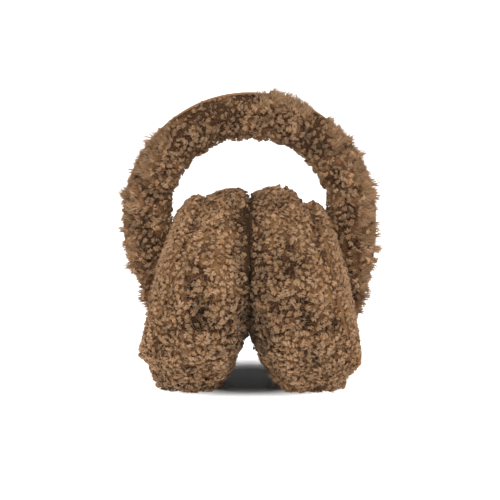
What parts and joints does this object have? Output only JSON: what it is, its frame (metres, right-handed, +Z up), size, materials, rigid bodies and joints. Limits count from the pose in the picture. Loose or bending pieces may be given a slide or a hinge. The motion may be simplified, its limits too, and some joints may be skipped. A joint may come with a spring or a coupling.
{
  "type": "earmuffs",
  "caption": "Curly fleece earmuffs standing on their ear pads: a padded arched headband with a suede strip outside, joined to thick round ear pads that lean together.",
  "frame": {"origin": "on the floor, midway between the two ear pads", "axes": "+X from the left pad to the right pad as seen from the front, -Y towards the wearer's forehead, +Z up to the top of the headband"},
  "size_m": [0.1608, 0.1359, 0.1889],
  "materials": {
    "fleece": "curly brown shearling fleece, matt",
    "suede": "reddish brown suede, matt, short nap"
  },
  "bodies": {
    "root": {"headband_fleece": "fleece", "outer_suede_strip": "suede", "ear_cushion_left": "fleece", "ear_cover_left": "fleece", "ear_cushion_right": "fleece", "ear_cover_right": "fleece"}
  },
  "joints": []
}
